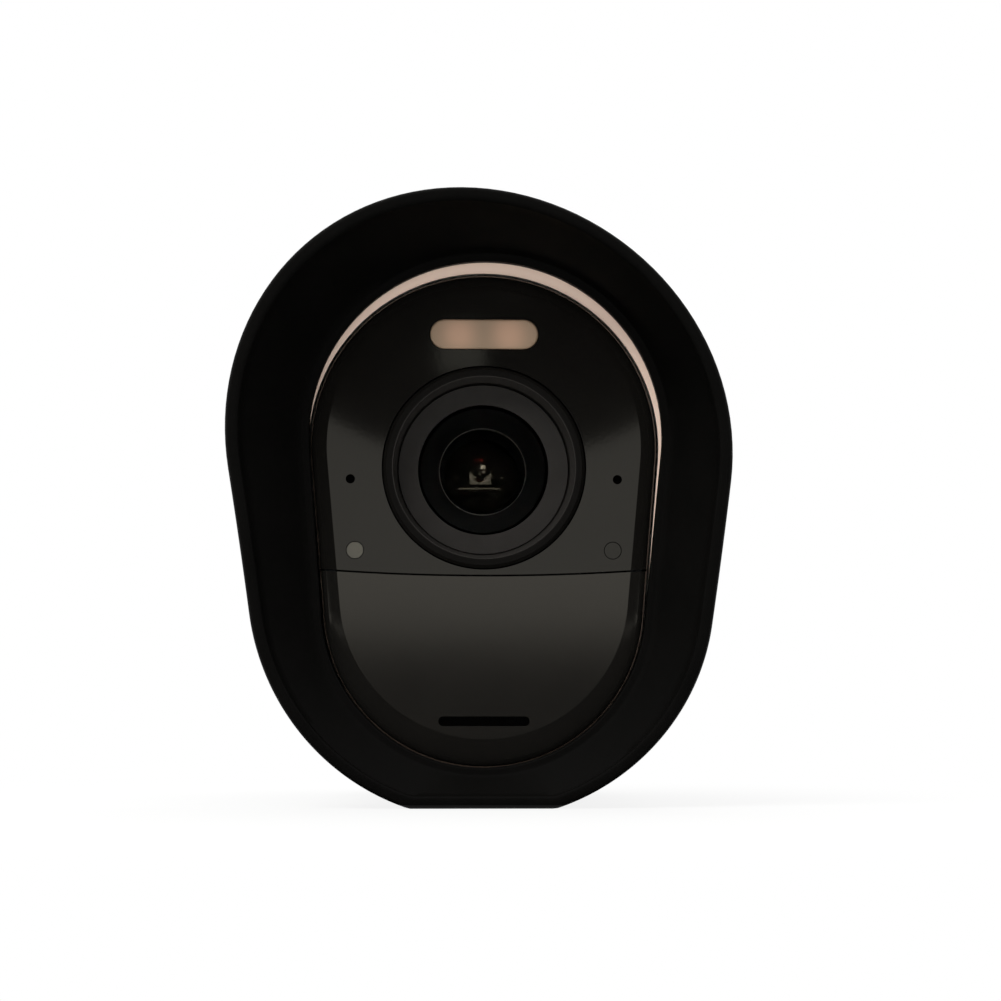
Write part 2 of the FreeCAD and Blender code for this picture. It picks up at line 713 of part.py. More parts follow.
def lower_faceplate():
    """The plate that the motion sensor looks through, with the speaker's slot."""
    slot = pill(SLOT_LENGTH, SLOT_HEIGHT, -FAR, FAR, SPEAKER_Z)
    return face_form().common(beside_split(-1)).cut(slot)


def lens_trim_ring():
    """The black ring round the lens well, falling inwards."""
    front = -FACE_PROUD - TRIM_PROUD
    round_off = TRIM_PROUD
    profile = [
        (TRIM_OUTER_R, front + round_off),
        (TRIM_OUTER_R - round_off, front),
        (TRIM_OUTER_R - round_off - TRIM_FLAT, front),
        (TRIM_INNER_R, TRIM_STEP_Y),
        (TRIM_INNER_R, OPTIC_SEAT_Y),
        (TRIM_OUTER_R, OPTIC_SEAT_Y),
    ]
    return turned(profile)


def lens_bezel_ring():
    """The grey dished ring that frames the lens window."""
    profile = [
        (BEZEL_OUTER_R, BEZEL_FRONT_Y),
        (BEZEL_INNER_R, BEZEL_FRONT_Y + BEZEL_SLOPE),
        (BEZEL_INNER_R, OPTIC_SEAT_Y),
        (BEZEL_OUTER_R, OPTIC_SEAT_Y),
    ]
    return turned(profile)


def lens_window():
    return disc(WINDOW_R, WINDOW_SEAT_Y - WINDOW_THICK, WINDOW_SEAT_Y)


def lens_barrel():
    """The barrel with its funnel and the flange that the rings sit on."""
    rear_bore_r = REAR_LENS_R + GLASS_CLEARANCE
    profile = [
        (WINDOW_R, WINDOW_SEAT_Y),
        (BAFFLE_TOP_R, WINDOW_SEAT_Y),
        (BORE_R, BORE_FRONT_Y),
        (BORE_R, BORE_STEP_Y),
        (rear_bore_r, BORE_STEP_Y),
        (rear_bore_r, BARREL_BACK_Y),
        (BARREL_R, BARREL_BACK_Y),
        (BARREL_R, FRAME_Y),
        (TRIM_OUTER_R, FRAME_Y),
        (TRIM_OUTER_R, OPTIC_SEAT_Y),
        (WINDOW_R, OPTIC_SEAT_Y),
    ]
    return turned(profile)


def lens_element(r, y, bulge, thick):
    """A lens with a domed front and a flat back, its edge at y."""
    dome_r = (r**2 + bulge**2) / (2 * bulge)
    half_angle = math.asin(r / dome_r) / 2
    apex = V(0, y - bulge, LENS_HEIGHT)
    rim = V(r, y, LENS_HEIGHT)
    halfway = apex + V(dome_r * math.sin(half_angle), dome_r * (1 - math.cos(half_angle)), 0)
    back = [rim, V(r, y + thick, LENS_HEIGHT), V(0, y + thick, LENS_HEIGHT), apex]
    crown = Part.Arc(apex, halfway, rim).toShape()
    return spun(Part.Wire([crown] + Part.makePolygon(back).Edges))


def front_lens():
    y = BORE_FRONT_Y + GLASS_CLEARANCE
    return lens_element(BORE_R - GLASS_CLEARANCE, y, FRONT_LENS_BULGE, FRONT_LENS_THICK)


def rear_lens():
    return lens_element(REAR_LENS_R, REAR_LENS_Y, FRONT_LENS_BULGE / 2, REAR_LENS_THICK)


def lens_square(half, y0, y1):
    """A square block on the lens axis."""
    return box(-half, half, y0, y1, LENS_HEIGHT - half, LENS_HEIGHT + half)


def sensor_holder():
    """The square block that joins the barrel to the sensor's board."""
    y0 = SENSOR_BOARD_Y - HOLDER_DEPTH
    room = lens_square(HOLDER_HALF - HOLDER_WALL, BARREL_BACK_Y, SENSOR_BOARD_Y)
    bore = disc(BARREL_R, y0, BARREL_BACK_Y)
    return lens_square(HOLDER_HALF, y0, SENSOR_BOARD_Y).cut([room, bore])


def image_sensor():
    return lens_square(SENSOR_HALF, SENSOR_BOARD_Y - SENSOR_THICK, SENSOR_BOARD_Y)


def sensor_board():
    return lens_square(HOLDER_HALF, SENSOR_BOARD_Y, SENSOR_BOARD_Y + BOARD_THICK)


def spotlight_lens():
    """The frosted window of the spotlight, held by a flange behind the plate."""
    length = PILL_LENGTH - 2 * PLATE_CLEARANCE
    height = PILL_HEIGHT - 2 * PLATE_CLEARANCE
    window = pill(length, height, PILL_FRONT_Y, FACE_BACK, PILL_Z)
    window = window.makeFillet(PILL_PROUD, edges_where(window, lambda p: p.y < -FACE_PROUD))
    margin = 2 * PILL_FLANGE
    flange_back = FACE_BACK + PILL_FLANGE_THICK
    flange = pill(length + margin, height + margin, FACE_BACK, flange_back, PILL_Z)
    return window.fuse(flange).removeSplitter()


def spotlight_board():
    x = LED_BOARD_HALF
    z = PILL_HEIGHT / 2 + PILL_FLANGE
    return box(-x, x, FRAME_Y - LED_BOARD_THICK, FRAME_Y, PILL_Z - z, PILL_Z + z)


def spotlight_leds():
    s = LED_HALF
    y1 = FRAME_Y - LED_BOARD_THICK
    places = [side * LED_X for side in SIDES]
    chips = [box(x - s, x + s, y1 - LED_THICK, y1, PILL_Z - s, PILL_Z + s) for x in places]
    return Part.makeCompound(chips)


def microphones():
    """The two capsules behind their holes."""
    y1 = FACE_BACK + MIC_THICK
    return Part.makeCompound([disc(MIC_R, FACE_BACK, y1, side * MIC_X, MIC_Z) for side in SIDES])


def light_pipe(side):
    """A clear rod from the frame to the face."""
    return disc(DOT_R, -FACE_PROUD + DOT_SINK, FRAME_Y, side * DOT_X, DOT_Z)


def speaker_mesh():
    length = SLOT_LENGTH + 2 * MESH_MARGIN
    height = SLOT_HEIGHT + 2 * MESH_MARGIN
    return pill(length, height, FACE_BACK, FACE_BACK + MESH_THICK, SPEAKER_Z)


def speaker():
    y0 = FACE_BACK + MESH_THICK + INNER_GAP
    return pill(SPEAKER_LENGTH, SPEAKER_HEIGHT, y0, FRAME_Y, SPEAKER_Z)


def motion_sensor():
    """The sensor's can on its base."""
    z = LENS_HEIGHT - MOTION_DROP
    base = disc(MOTION_BASE_R, FRAME_Y - MOTION_BASE_THICK, FRAME_Y, z=z)
    return base.fuse(disc(MOTION_CAN_R, FACE_BACK + INNER_GAP, FRAME_Y, z=z)).removeSplitter()


def post_places():
    """Where the chassis's four posts stand, near its wall."""
    places = []
    for centre_z, r, up in ((INSIDE.top_z, INSIDE.top_r, 1), (INSIDE.low_z, INSIDE.low_r, -1)):
        reach = r * POST_REACH
        z = centre_z + up * reach * math.sin(POST_ANGLE)
        places += [(side * reach * math.cos(POST_ANGLE), z) for side in SIDES]
    return places


def front_frame():
    """The inner plate that carries what lies behind the face."""
    plate = INSIDE.grown(-FRAME_GAP).prism(FRAME_Y, FRAME_BACK_Y)
    holes = [disc(BARREL_R + GLASS_CLEARANCE, -FAR, FAR)]
    holes += [disc(SCREW_R, -FAR, FAR, x, z) for x, z in post_places()]
    return plate.cut(holes)


def frame_screws():
    """Four screws through the frame into the chassis's posts."""
    screws = []
    for x, z in post_places():
        head = disc(SCREW_HEAD_R, FRAME_Y - SCREW_HEAD_THICK, FRAME_Y, x, z)
        shaft = disc(SCREW_R, FRAME_Y, FRAME_Y + SCREW_LENGTH, x, z)
        screws.append(head.fuse(shaft).removeSplitter())
    return Part.makeCompound(screws)


def battery_contacts():
    """A row of spring pins from the main board through the bulkhead to the battery."""
    middle = (PIN_CONTACT_COUNT - 1) / 2
    places = [(i - middle) * PIN_CONTACT_SPACING for i in range(PIN_CONTACT_COUNT)]
    pins = [disc(PIN_CONTACT_R, MAIN_BOARD_BACK_Y, BATTERY_Y, x, BATTERY_Z) for x in places]
    return Part.makeCompound(pins)


def chassis_form(egg, y0):
    end_angle = math.asin((CHASSIS_END_Y - SHOULDER_Y) / DOME_LENGTH)
    return straight_form(egg, y0, end_angle)


def chassis():
    """The tub behind the face: a front room for the optics, a bulkhead and a battery bay."""
    x = CHANNEL_HALF + CHASSIS_WALL
    cover_front = CHANNEL_FRONT_Y - CHASSIS_WALL
    cover = box(-x, x, cover_front, 2 * FAR, -FAR, CHANNEL_ROOF_Z + CHASSIS_WALL)
    channel = box(-CHANNEL_HALF, CHANNEL_HALF, CHANNEL_FRONT_Y, 2 * FAR, -FAR, CHANNEL_ROOF_Z)
    front_room = INSIDE.prism(FACE_BACK, BULKHEAD_Y).cut(cover)
    battery_bay = chassis_form(INSIDE, BULKHEAD_Y + CHASSIS_WALL).cut(cover)
    whole = chassis_form(CHASSIS, FACE_BACK)
    posts = [disc(POST_R, FRAME_BACK_Y, BULKHEAD_Y, px, pz) for px, pz in post_places()]
    for up in SIDES:
        z = LENS_HEIGHT + up * STANDOFF_RISE
        posts += [disc(STANDOFF_R, MAIN_BOARD_BACK_Y, BULKHEAD_Y, s * STANDOFF_X, z) for s in SIDES]
    tub = whole.cut([front_room, battery_bay, channel])
    tub = tub.fuse([solid.common(whole) for solid in posts])
    ridge = CHASSIS.grown(1).prism(SEAL_Y, SEAL_Y + SEAL_THICK)
    groove = ridge.cut(CHASSIS.grown(-SEAL_DEPTH).prism(SEAL_Y, SEAL_Y + SEAL_THICK))
    return tub.cut([groove, frame_screws(), battery_contacts()])


def seal_ring():
    """The rubber seal in the groove round the chassis."""
    outside = MOUTH.grown(-SEAL_CLEARANCE).prism(SEAL_Y, SEAL_Y + SEAL_THICK)
    return outside.cut(CHASSIS.grown(-SEAL_DEPTH).prism(SEAL_Y, SEAL_Y + SEAL_THICK))


def main_board():
    """The main board on its standoffs, notched round the posts."""
    board = INSIDE.grown(-INNER_GAP).prism(MAIN_BOARD_Y, MAIN_BOARD_BACK_Y)
    x = CHANNEL_HALF + CHASSIS_WALL + INNER_GAP
    below = box(-x, x, -FAR, FAR, -FAR, CHANNEL_ROOF_Z + CHASSIS_WALL + INNER_GAP)
    notches = [disc(POST_R + INNER_GAP, -FAR, FAR, px, pz) for px, pz in post_places()]
    return board.cut([below] + notches)


def battery():
    """The rechargeable pack."""
    x = BATTERY_HALF
    z = BATTERY_HEIGHT / 2
    y1 = BATTERY_Y + BATTERY_LENGTH
    return rounded_box(
        -x, x, BATTERY_Y, y1, BATTERY_Z - z, BATTERY_Z + z, BATTERY_CORNER_R, Y_AXIS
    )


def main():
    os.makedirs("parts", exist_ok=True)
    nodes = {
        "silicone_case": silicone_case(),
        "housing_shell": housing_shell(),
        "tripod_insert": tripod_insert(),
        "magnet_plate": magnet_plate(),
        "lever_pin": lever_pin(),
        "release_lever": release_lever(),
        "charging_port": charging_port(),
        "charging_contacts": charging_contacts(),
        "port_board": port_board(),
        "pairing_switch": pairing_switch(),
        "pairing_button": pairing_button(),
        "upper_faceplate": upper_faceplate(),
        "lower_faceplate": lower_faceplate(),
        "lens_trim_ring": lens_trim_ring(),
        "lens_bezel_ring": lens_bezel_ring(),
        "lens_window": lens_window(),
        "lens_barrel": lens_barrel(),
        "front_lens": front_lens(),
        "rear_lens": rear_lens(),
        "sensor_holder": sensor_holder(),
        "image_sensor": image_sensor(),
        "sensor_board": sensor_board(),
        "spotlight_lens": spotlight_lens(),
        "spotlight_board": spotlight_board(),
        "spotlight_leds": spotlight_leds(),
        "microphones": microphones(),
        "status_light_pipe": light_pipe(-1),
        "light_sensor_window": light_pipe(1),
        "speaker_mesh": speaker_mesh(),
        "speaker": speaker(),
        "motion_sensor": motion_sensor(),
        "front_frame": front_frame(),
        "frame_screws": frame_screws(),
        "chassis": chassis(),
        "seal_ring": seal_ring(),
        "main_board": main_board(),
        "battery_contacts": battery_contacts(),
        "battery": battery(),
    }
    for name, shape in nodes.items():
        print(name, shape.isValid(), len(shape.Solids), round(shape.Volume, 1))
        shape.exportStep(f"parts/{name}.step")


main()
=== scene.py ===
"""The looks of a silicone camera case on its battery camera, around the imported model.

The sections follow the object as it is put together, from the case inwards. Lengths are in metres.
"""

import math

import bpy
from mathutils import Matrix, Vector


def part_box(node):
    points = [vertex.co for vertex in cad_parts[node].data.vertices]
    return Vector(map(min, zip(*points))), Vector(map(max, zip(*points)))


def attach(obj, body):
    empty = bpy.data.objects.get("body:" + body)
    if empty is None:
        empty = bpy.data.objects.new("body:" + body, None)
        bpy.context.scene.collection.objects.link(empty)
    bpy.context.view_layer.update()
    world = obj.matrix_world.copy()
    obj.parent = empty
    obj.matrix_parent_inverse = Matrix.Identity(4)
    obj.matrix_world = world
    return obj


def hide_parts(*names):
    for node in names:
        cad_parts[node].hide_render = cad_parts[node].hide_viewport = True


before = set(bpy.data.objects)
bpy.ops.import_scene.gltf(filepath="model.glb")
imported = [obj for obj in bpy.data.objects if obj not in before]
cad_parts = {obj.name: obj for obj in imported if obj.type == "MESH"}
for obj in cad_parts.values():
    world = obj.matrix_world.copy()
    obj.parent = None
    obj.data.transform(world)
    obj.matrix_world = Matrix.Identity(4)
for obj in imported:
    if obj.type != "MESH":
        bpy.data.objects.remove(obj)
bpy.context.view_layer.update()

# The silicone case.
# One moulding of soft black silicone rubber: sleeve, flared hood, lip round the face, flat foot
# and a window underneath. It is stretched over the camera, and its hood hangs a little askew.

MM = 0.001
RIGHT_ANGLE = math.radians(90)
LENS_Z = 45.6 * MM
SHOULDER_Y = 40 * MM
DOME_LENGTH = 55 * MM
DOME_R = 26.8 * MM
DOME_Z = LENS_Z - 5 * MM
CASE_GAP = 0.15 * MM
CASE_WALL = 2 * MM
CASE_END = math.radians(45.5)
CASE_EDGE_ROUND = 0.5 * MM
LIP_FRONT_Y = -1.9 * MM
LIP_STEP = 1.1 * MM
LIP_ROUND = 0.35 * MM
HOOD_LEAN = math.radians(9.2)
HOOD_REACH = 5.5 * MM
HOOD_RIM = 1.8 * MM
HOOD_RIM_ROUND = 0.7 * MM
NECK_Y = 2 * MM
NECK_GROW = 1.3 * MM
ROOT_SHARE = 0.3
ROOT_SINK = 0.3 * MM
HOOD_SLUMP = -0.05  # the soft hood slumps to the left by this share of its height
HOOD_BOW = -0.63  # and bows that way, per metre
FOOT_HALF = 9 * MM
FOOT_END_Y = 59 * MM
FOOT_CORNER_R = 4 * MM
FOOT_EDGE = 0.9 * MM
WINDOW_HALF = 7 * MM
WINDOW_FRONT_Y = 24 * MM
WINDOW_BACK_Y = 56.1 * MM
WINDOW_CORNER_R = 2.7 * MM
WINDOW_TOP_Z = 7 * MM
LOW_STEPS = 60  # points round the low circle on each side, on the tangent and round the top
FLANK_STEPS = 8
TOP_STEPS = 34
HALF_STEPS = LOW_STEPS + FLANK_STEPS + TOP_STEPS
FLARE_STEPS = 14
FUNNEL_STEPS = 8
RIM_STEPS = 6
LIP_STEPS = 4
SLEEVE_SHARES = (1, 0.85, 0.7, 0.55, 0.45, 0.36)
DOME_SHARES = (0.99, 0.9, 0.75, 0.6, 0.52)
FOOT_END_SHARES = [0.47 - 0.01 * step for step in range(13)]
INNER_SLEEVE_SHARES = (0.02, 0.15, 0.3, 0.45, 0.6, 0.8, 1)
INNER_DOME_SHARES = (0.15, 0.3, 0.45, 0.6, 0.75, 0.9, 0.99)
SAME_POINT = 0.002 * MM
SMOOTH_ANGLE = math.radians(40)


def egg(top_r, top_rise, low_r, low_drop, low_x=0.0, top_x=0.0):
    """Two circles joined by tangents, from sizes in millimetres round the lens axis."""
    sizes = (top_r, top_rise, low_r, -low_drop, low_x, top_x)
    top_r, top_z, low_r, low_z, low_x, top_x = [size * MM for size in sizes]
    return (top_r, LENS_Z + top_z, low_r, LENS_Z + low_z, low_x, top_x)


def mixed(a, b, share):
    """An outline on the way from one to another."""
    return tuple(p + (q - p) * share for p, q in zip(a, b))


def grown(outline, by):
    """An outline moved out all round."""
    top_r, top_z, low_r, low_z, low_x, top_x = outline
    return (top_r + by, top_z, low_r + by, low_z, low_x, top_x)


def ring(outline, y, floor=None):
    """Points of an outline in the plane at y, up its right side and down its left."""
    top_r, top_z, low_r, low_z, low_x, top_x = outline
    rise = top_z - low_z
    tilt = math.asin((top_r - low_r) / math.hypot(top_x - low_x, rise))
    turn = math.atan2(top_x - low_x, rise)

    def on(x, z, r, side, angle):
        return Vector((x + side * r * math.cos(angle), y, z + r * math.sin(angle)))

    def place(side, step):
        touch = -tilt - side * turn
        if step <= LOW_STEPS:
            angle = -RIGHT_ANGLE + (touch + RIGHT_ANGLE) * step / LOW_STEPS
            return on(low_x, low_z, low_r, side, angle)
        step -= LOW_STEPS
        if step <= FLANK_STEPS:
            low = on(low_x, low_z, low_r, side, touch)
            return low.lerp(on(top_x, top_z, top_r, side, touch), step / FLANK_STEPS)
        step -= FLANK_STEPS
        angle = touch + (RIGHT_ANGLE - touch) * step / TOP_STEPS
        return on(top_x, top_z, top_r, side, angle)

    points = [place(1, step) for step in range(HALF_STEPS)]
    points += [place(-1, step) for step in range(HALF_STEPS, 0, -1)]
    if floor is not None:
        for point in points:
            point.z = max(point.z, floor)
    return points


FRONT = egg(25.7, 2.9, 23.9, 18.7)
FULL = egg(26.8, 4.4, 24.3, 18.7)
OPENING = egg(23.8, 4.2, 21.8, 18.5, -0.05, 0.25)
HOOD = egg(33.14, 2.8, 30.66, 16.53, -1.24, -0.77)


def sleeve_ring(grow, share):
    """A section of the sleeve, at a share of the way from the front edge to the shoulder."""
    swell = math.sin(RIGHT_ANGLE * share)
    return ring(grown(mixed(FRONT, FULL, swell), grow), SHOULDER_Y * share)


def dome_ring(grow, angle):
    """A section of the dome that closes the back like an ellipse."""
    back = math.sin(angle) / DOME_LENGTH
    out = math.cos(angle) / DOME_R
    length = math.hypot(back, out)
    scale = math.cos(angle)
    top_r, top_z, low_r, low_z, low_x, top_x = FULL
    top_z = DOME_Z + (top_z - DOME_Z) * scale
    low_z = DOME_Z + (low_z - DOME_Z) * scale
    closed = (top_r * scale, top_z, low_r * scale, low_z, low_x, top_x)
    y = SHOULDER_Y + DOME_LENGTH * math.sin(angle) + grow * back / length
    return ring(grown(closed, grow * out / length), y)


def mouth_ring(depth, back):
    """The hood's outline at a depth inside its outer one, a little behind its leaning mouth."""
    points = ring(grown(HOOD, -depth), 0, depth)
    for point in points:
        lift = point.z - LENS_Z
        point.x += HOOD_SLUMP * lift + HOOD_BOW * lift**2
        point.y = back - HOOD_REACH - point.z * math.sin(HOOD_LEAN)
        point.z *= math.cos(HOOD_LEAN)
    return points


def rim_rings(depth, side):
    """The round of one edge of the mouth, from the front back: side is 1 outside, -1 inside."""
    rounded = []
    for step in range(RIM_STEPS + 1):
        angle = RIGHT_ANGLE * step / RIM_STEPS
        inset = HOOD_RIM_ROUND * (1 - math.sin(angle))
        back = HOOD_RIM_ROUND * (1 - math.cos(angle))
        rounded.append(mouth_ring(depth + side * inset, back))
    return rounded


def between(first, last, steps):
    """Rings on the straight way from one ring to another, without the two."""
    shares = [step / steps for step in range(1, steps)]
    return [[a.lerp(b, share) for a, b in zip(first, last)] for share in shares]


def set_on_foot(points):
    """Brings a ring of the outside down to the foot, whose round end rises over a soft edge."""
    for point in points:
        across = max(abs(point.x) - FOOT_HALF + FOOT_CORNER_R, 0)
        along = max(point.y - FOOT_END_Y + FOOT_CORNER_R, 0)
        outside = (math.hypot(across, along) - FOOT_CORNER_R) / FOOT_EDGE
        share = min(max(outside, 0), 1)
        if point.z < LENS_Z:
            point.z = max(point.z * share * share * (3 - 2 * share), 0)
    return points


def flare_ring(root, neck, mouth, share):
    """A ring of the hood's flare, which bends smoothly from the sleeve to the mouth."""
    points = []
    for a, b, c in zip(root, neck, mouth):
        points.append(a.lerp(b, share).lerp(b.lerp(c, share), share))
    return points


# The rings run from the back edge forwards along the outside, round the rim, down the hood to
# the lip, and back along the inside.
outer_grow = CASE_GAP + CASE_WALL
root = sleeve_ring(outer_grow - ROOT_SINK / 2, ROOT_SHARE)
neck = ring(grown(FRONT, outer_grow + NECK_GROW), NECK_Y, 0)
outer_rim = rim_rings(0, 1)
inner_rim = rim_rings(HOOD_RIM, -1)

rings = [dome_ring(outer_grow - CASE_EDGE_ROUND, CASE_END)]
for share in (*DOME_SHARES, *FOOT_END_SHARES, 0.25, 0.12):
    rings.append(dome_ring(outer_grow, CASE_END * share))
rings += [sleeve_ring(outer_grow, share) for share in SLEEVE_SHARES]
for step in range(FLARE_STEPS):
    rings.append(flare_ring(root, neck, outer_rim[-1], step / FLARE_STEPS))
rings = [set_on_foot(points) for points in rings]
rings += outer_rim[::-1] + inner_rim

lip_outside = ring(grown(OPENING, LIP_STEP), LIP_FRONT_Y)
rings += between(inner_rim[-1], lip_outside, FUNNEL_STEPS)
rings.append(lip_outside)
rings.append(ring(grown(OPENING, LIP_STEP - LIP_ROUND / 2), LIP_FRONT_Y + LIP_ROUND / 4))
for step in range(LIP_STEPS + 1):
    angle = RIGHT_ANGLE * step / LIP_STEPS
    inset = LIP_ROUND * (1 - math.sin(angle))
    back = LIP_ROUND * (1 - math.cos(angle))
    rings.append(ring(grown(OPENING, inset), LIP_FRONT_Y + back))
rings.append(ring(OPENING, -CASE_GAP - LIP_ROUND))
rings.append(ring(grown(OPENING, LIP_ROUND), -CASE_GAP))
rings.append(ring(grown(FRONT, CASE_GAP), -CASE_GAP))
rings += [sleeve_ring(CASE_GAP, share) for share in INNER_SLEEVE_SHARES]
rings += [dome_ring(CASE_GAP, CASE_END * share) for share in INNER_DOME_SHARES]
rings.append(dome_ring(CASE_GAP + CASE_EDGE_ROUND, CASE_END))


def only(obj):
    """Makes an object the only selected one, and the active one."""
    bpy.ops.object.select_all(action="DESELECT")
    obj.select_set(True)
    bpy.context.view_layer.objects.active = obj


# A grid is bent round into the case: its rows are the rings, and its first and last ones meet.
bpy.ops.object.select_all(action="DESELECT")
bpy.ops.mesh.primitive_grid_add(x_subdivisions=2 * HALF_STEPS, y_subdivisions=len(rings))
case = bpy.context.active_object
case.name = "moulded_silicone_case"
bent = []
for points in rings + rings[:1]:
    for point in points + points[:1]:
        bent.extend(point)
case.data.vertices.foreach_set("co", bent)
only(case)
bpy.ops.object.transform_apply(location=True, rotation=True, scale=True)
bpy.ops.object.mode_set(mode="EDIT")
bpy.ops.mesh.select_all(action="SELECT")
bpy.ops.mesh.remove_doubles(threshold=SAME_POINT)
bpy.ops.mesh.normals_make_consistent(inside=False)
bpy.ops.object.mode_set(mode="OBJECT")

# The window underneath is cut out with a block whose upright edges are rounded.
bpy.ops.object.select_all(action="DESELECT")
bpy.ops.mesh.primitive_cube_add(
    size=1, location=(0, (WINDOW_FRONT_Y + WINDOW_BACK_Y) / 2, WINDOW_TOP_Z / 2 - CASE_WALL)
)
cutter = bpy.context.active_object
cutter.scale = (2 * WINDOW_HALF, WINDOW_BACK_Y - WINDOW_FRONT_Y, WINDOW_TOP_Z + 2 * CASE_WALL)
bpy.ops.object.transform_apply(location=True, rotation=True, scale=True)
for edge in cutter.data.edges:
    a, b = [cutter.data.vertices[index].co for index in edge.vertices]
    edge.select = abs(a.z - b.z) > CASE_WALL
bpy.ops.object.mode_set(mode="EDIT")
bpy.ops.mesh.select_mode(type="EDGE")
bpy.ops.mesh.bevel(offset=WINDOW_CORNER_R, segments=6)
bpy.ops.object.mode_set(mode="OBJECT")
only(case)
slot_cut = case.modifiers.new("window", "BOOLEAN")
slot_cut.object = cutter
slot_cut.solver = "EXACT"
bpy.ops.object.modifier_apply(modifier="window")
bpy.data.objects.remove(cutter)
bpy.ops.object.shade_smooth_by_angle(angle=SMOOTH_ANGLE)


def linear(colour):
    """Linear RGBA of an sRGB colour written as hex."""
    parts = [int(colour[index:index + 2], 16) / 255 for index in (1, 3, 5)]
    return (*[p / 12.92 if p <= 0.04045 else ((p + 0.055) / 1.055) ** 2.4 for p in parts], 1.0)


def node(tree, kind, inputs, **settings):
    """Adds a node with its settings; an input is a value or another node's output."""
    made = tree.nodes.new("ShaderNode" + kind)
    for name, value in settings.items():
        setattr(made, name, value)
    for name, value in inputs.items():
        if isinstance(value, bpy.types.NodeSocket):
            tree.links.new(value, made.inputs[name])
        else:
            made.inputs[name].default_value = value
    return made


def surface(name, colours, patch, grain, depth, roughness, **shader):
    """A finish of two close colours in patches, with a fine grain in relief.

    patch, grain and depth are the sizes of the patches, the grain and its relief in metres, and
    the roughness runs between two values with the patches. What is left sets the shader itself.
    """
    made = bpy.data.materials.new(name)
    made.use_nodes = True
    tree = made.node_tree
    shaded = tree.nodes["Principled BSDF"]
    place = node(tree, "TexCoord", {}).outputs["Object"]
    patches = node(tree, "TexNoise", {"Vector": place, "Scale": 1 / patch, "Detail": 3.0})
    fine = node(tree, "TexNoise", {"Vector": place, "Scale": 1 / grain, "Detail": 2.0})
    light, dark = [linear(colour) for colour in colours]
    tint = node(
        tree, "MixRGB", {"Fac": patches.outputs["Fac"], "Color1": dark, "Color2": light}
    )
    spread = node(
        tree,
        "MapRange",
        {"Value": patches.outputs["Fac"], "To Min": roughness[0], "To Max": roughness[1]},
    )
    relief = node(tree, "Bump", {"Height": fine.outputs["Fac"], "Distance": depth})
    tree.links.new(tint.outputs["Color"], shaded.inputs["Base Color"])
    tree.links.new(spread.outputs["Result"], shaded.inputs["Roughness"])
    tree.links.new(relief.outputs["Normal"], shaded.inputs["Normal"])
    for socket, value in shader.items():
        shaded.inputs[socket.replace("_", " ")].default_value = value
    return made


# Silicone rubber, moulded matt: a fine, even skin, so it is deep black and hardly shines.
silicone = surface(
    "silicone rubber moulded matt",
    ("#0D0C0B", "#080807"),
    6 * MM,
    0.25 * MM,
    0.012 * MM,
    (0.46, 0.56),
    IOR=1.41,
    Specular_IOR_Level=0.1,
)
case.data.materials.clear()
case.data.materials.append(silicone)
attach(case, "camera_housing")
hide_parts("silicone_case")


def finish_nodes(material, *names):
    """Gives a finish to nodes of the model whose shape stays as it is."""
    for name in names:
        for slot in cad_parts[name].material_slots:
            slot.material = material


# The camera housing.
# A seamless shell of white ABS, with its release lever and its button underneath. Its front
# edge shows as a crescent inside the case's lip.

PAINTED_WARM_LIGHT_DEPTH = 0.4 * MM


def laid_over(material, factor, colour):
    """Lays another colour over a finish, where a factor between 0 and 1 says so."""
    shaded = material.node_tree.nodes["Principled BSDF"]
    below = shaded.inputs["Base Color"].links[0].from_socket
    inputs = {"Fac": factor, "Color1": below, "Color2": linear(colour)}
    laid = node(material.node_tree, "MixRGB", inputs)
    material.node_tree.links.new(laid.outputs["Color"], shaded.inputs["Base Color"])
    return material


# ABS moulded in a polished tool: white with a soft gloss. The shell's cut front edge is painted a
# little warmer than its skin: painted light, standing in for the warm light in the hood's shade.
polished_white = (("#F4F1EC", "#ECE9E3"), 9 * MM, 0.3 * MM, 0.002 * MM, (0.22, 0.3))
finish_nodes(surface("ABS gloss white", *polished_white), "release_lever")
shell_finish_with_painted_light = surface("ABS gloss white shell with painted warm light", *polished_white)
tree = shell_finish_with_painted_light.node_tree
place = node(tree, "TexCoord", {}).outputs["Object"]
depth = node(tree, "SeparateXYZ", {"Vector": place}).outputs["Y"]
# Painted warm light: the front edge takes a warmer colour for the tinted light under the hood.
front = node(tree, "Math", {0: depth, 1: PAINTED_WARM_LIGHT_DEPTH}, operation="LESS_THAN")
laid_over(shell_finish_with_painted_light, front.outputs["Value"], "#FFE2CF")
finish_nodes(shell_finish_with_painted_light, "housing_shell")

# ABS moulded in a blasted tool: the button is a little greyer and duller than the shell.
finish_nodes(
    surface(
        "ABS satin white",
        ("#E9E7E2", "#DEDBD4"),
        3 * MM,
        0.2 * MM,
        0.003 * MM,
        (0.35, 0.45),
        IOR=1.53,
    ),
    "pairing_button",
)

# The fittings in the housing.
# A turned brass bush with its thread, a plated steel ring behind the ball seat, the lever's
# ground steel pin, and the charging socket with its gilt contacts on a small board.

# Brass turned on a lathe: yellow, with fine tool marks that soften its shine.
finish_nodes(
    surface(
        "brass turned",
        ("#D9B35C", "#B98E3E"),
        1.5 * MM,
        0.12 * MM,
        0.004 * MM,
        (0.22, 0.38),
        Metallic=1.0,
    ),
    "tripod_insert",
)

# Steel stamped and zinc plated: a cool, slightly cloudy grey.
finish_nodes(
    surface(
        "steel zinc plated",
        ("#C9CBCC", "#AEB1B3"),
        2 * MM,
        0.2 * MM,
        0.003 * MM,
        (0.28, 0.42),
        Metallic=1.0,
    ),
    "magnet_plate",
    "frame_screws",
    "motion_sensor",
)

# Stainless steel ground to size: bright, with a very fine grain.
finish_nodes(
    surface(
        "stainless steel ground",
        ("#D2D3D2", "#BDBEBD"),
        1 * MM,
        0.08 * MM,
        0.002 * MM,
        (0.2, 0.32),
        Metallic=1.0,
    ),
    "lever_pin",
)

